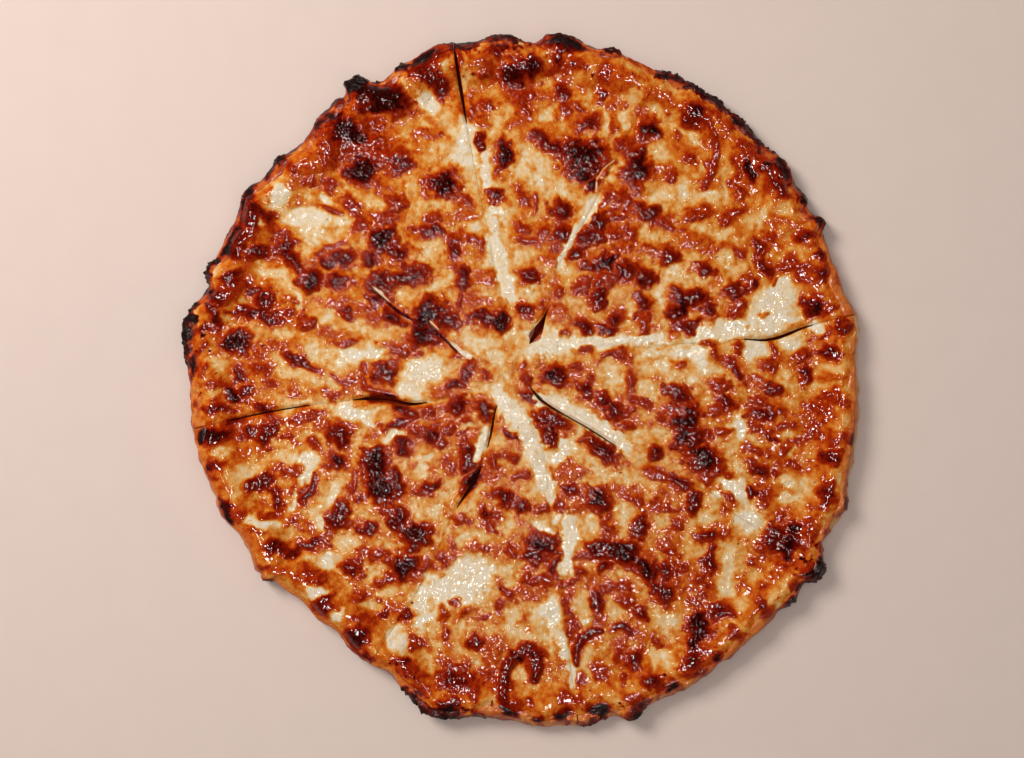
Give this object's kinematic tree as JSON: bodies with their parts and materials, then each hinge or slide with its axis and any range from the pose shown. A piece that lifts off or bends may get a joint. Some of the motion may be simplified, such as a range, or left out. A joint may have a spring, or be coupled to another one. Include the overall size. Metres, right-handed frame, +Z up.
{
  "type": "margherita pizza",
  "caption": "Round baked cheese pizza with tomato sauce, browned blistered cheese and a low charred rim, cut into wedges that lie in place.",
  "frame": {"origin": "centre of the pizza's flat underside", "axes": "+Z up through the cheese, +X and +Y across the disc; the cuts run out from near the middle"},
  "size_m": [0.3064, 0.3128, 0.0152],
  "materials": {
    "crust": "baked dough, golden to dark brown with charred spots, matt",
    "sauce": "cooked tomato sauce, dark red, moist",
    "cheese": "melted mozzarella, cream to orange with browned blisters, oily sheen"
  },
  "bodies": {
    "root": {"crust_1": "crust", "sauce_1": "sauce", "cheese_1": "cheese", "crust_2": "crust", "sauce_2": "sauce", "cheese_2": "cheese", "crust_3": "crust", "sauce_3": "sauce", "cheese_3": "cheese", "crust_4": "crust", "sauce_4": "sauce", "cheese_4": "cheese", "crust_5": "crust", "sauce_5": "sauce", "cheese_5": "cheese", "crust_6": "crust", "sauce_6": "sauce", "cheese_6": "cheese", "crust_7": "crust", "sauce_7": "sauce", "cheese_7": "cheese", "crust_8": "crust", "sauce_8": "sauce", "cheese_8": "cheese"}
  },
  "joints": []
}
